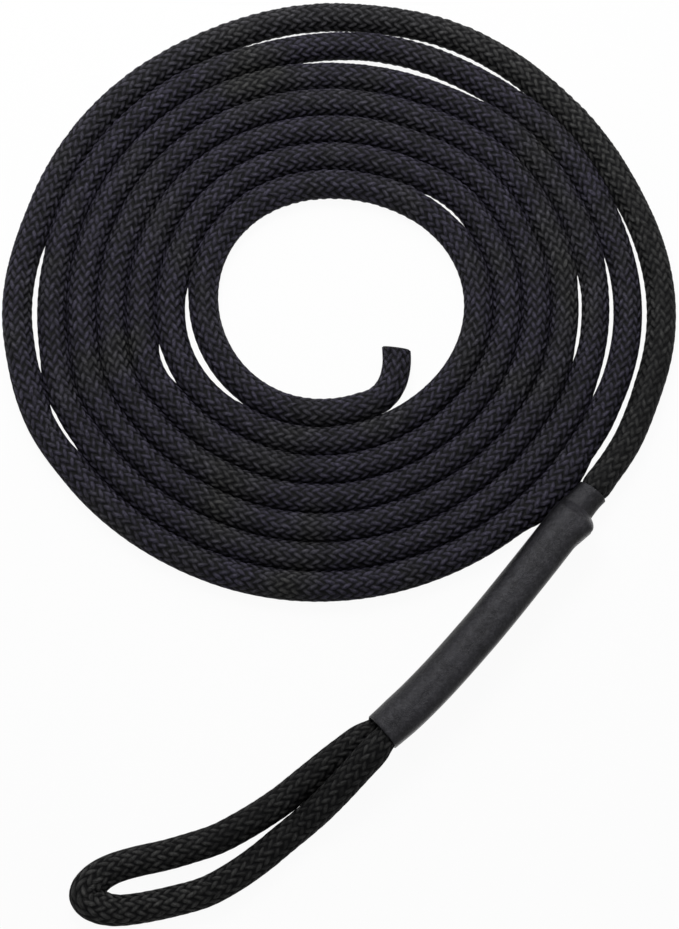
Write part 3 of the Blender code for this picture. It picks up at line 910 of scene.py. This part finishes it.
def seal_piece(name, at_start, surface):
    """The fused end of the rope: a slightly hollow, lumpy face, slanted at the free end like its cut."""
    rng = np.random.default_rng(FREE_END_SEED if at_start else TAIL_SEED)
    angle = math.tau * np.arange(SEAL_SIDES) / SEAL_SIDES
    lumps = sum(rng.uniform(*LUMP_SIZES) / wave * np.cos(wave * angle + rng.uniform(0, math.tau))
                for wave in LUMP_WAVES)
    rings = []
    for depth, share in SEAL_PROFILE:
        inset = np.maximum((depth - LUMP_DEPTH * lumps * share) * MM, 0.0)
        places = cut_at(angle, share) - SEAL_PROUD + inset if at_start else rope_length - inset
        rings.append(around_rope(places, angle, share * (1 + LUMP_GIRTH * lumps)))
    if not at_start:
        rings = rings[::-1]
    points = np.concatenate((*rings, [rings[0].mean(axis=0), rings[-1].mean(axis=0)]))
    corners, counts = tube_faces(len(rings), SEAL_SIDES, flipped=at_start)
    piece = finish_piece(name, points, corners, counts, {}, surface, "melt")
    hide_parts("free_end_seal" if at_start else "tail_seal")
    return piece


melt_look = melt_material()
seal_piece("free_end_melt", True, melt_look)
seal_piece("tail_end_melt", False, melt_look)

# Inner pieces that the rope and the sleeve enclose keep their solids
looks = {
    "core": thread_material("yarn_look", *CORE_YARN, scale=900.0),
    "end_seizing": thread_material("twine_look", *TWINE, scale=3000.0),
}
looks["throat_seizing"] = looks["end_seizing"]
for node, look in looks.items():
    held = frame["nodes"][node].data.materials
    held.clear()
    held.append(look)


# Floor, light and camera


def floor():
    """A plain white sheet that carries the leash."""
    mesh = bpy.data.meshes.new("floor")
    corners = ((-1, -1), (1, -1), (1, 1), (-1, 1))
    points = [(FLOOR_HALF * right, FLOOR_HALF * ahead, -FLOOR_DROP) for right, ahead in corners]
    mesh.from_pydata(points, [], [(0, 1, 2, 3)])
    paint = Paint("floor_white")
    paint.set(Base_Color=FLOOR_COLOUR, Roughness=1.0, Specular_IOR_Level=0.0)
    glow = paint.node("ShaderNodeEmission")
    paint.show(paint.math("MULTIPLY", paint.seen(), FLOOR_SEEN), glow, "Material Output")
    mesh.materials.append(paint.made)
    sheet = bpy.data.objects.new("floor", mesh)
    bpy.context.scene.collection.objects.link(sheet)


def world():
    """Even pale light from all round, seen as white."""
    paint = Paint("studio", "worlds", "Background")
    paint.set(Color=WHITE, Strength=WORLD_LIGHT)
    white = paint.node("ShaderNodeBackground")
    white.inputs["Color"].default_value = WHITE
    paint.show(paint.seen(), white, "World Output")
    bpy.context.scene.world = paint.made


def lamp(name, irradiance, breadth, bearing, height, distance):
    """A round soft lamp that faces the coil, placed by a bearing and a height in degrees."""
    light = bpy.data.lights.new(name, "AREA")
    light.shape = "DISK"
    light.size = breadth
    light.energy = irradiance * math.pi * ((breadth / 2) ** 2 + distance ** 2)
    made = bpy.data.objects.new(name, light)
    level = math.cos(math.radians(height))
    towards = Vector(outward_at(bearing) * level + (0, 0, math.sin(math.radians(height))))
    made.location = Vector(COIL_MIDDLE) + towards * distance
    made.rotation_mode = "QUATERNION"
    made.rotation_quaternion = towards.to_track_quat("Z", "Y")
    made.visible_camera = False
    bpy.context.scene.collection.objects.link(made)


def camera():
    """The photograph's viewpoint."""
    data = bpy.data.cameras.new("camera")
    data.lens = LENS
    data.sensor_width = 36.0
    data.clip_start, data.clip_end = 0.01, 20.0
    made = bpy.data.objects.new("camera", data)
    offset = Vector((0.0, -math.cos(ELEVATION), math.sin(ELEVATION)))
    made.location = Vector(TARGET) + offset * CAMERA_DISTANCE
    made.rotation_mode = "QUATERNION"
    made.rotation_quaternion = offset.to_track_quat("Z", "Y")
    bpy.context.scene.collection.objects.link(made)
    bpy.context.scene.camera = made


floor()
world()
for values in LAMPS:
    lamp(*values)
camera()
bpy.context.scene.view_settings.view_transform = "Standard"
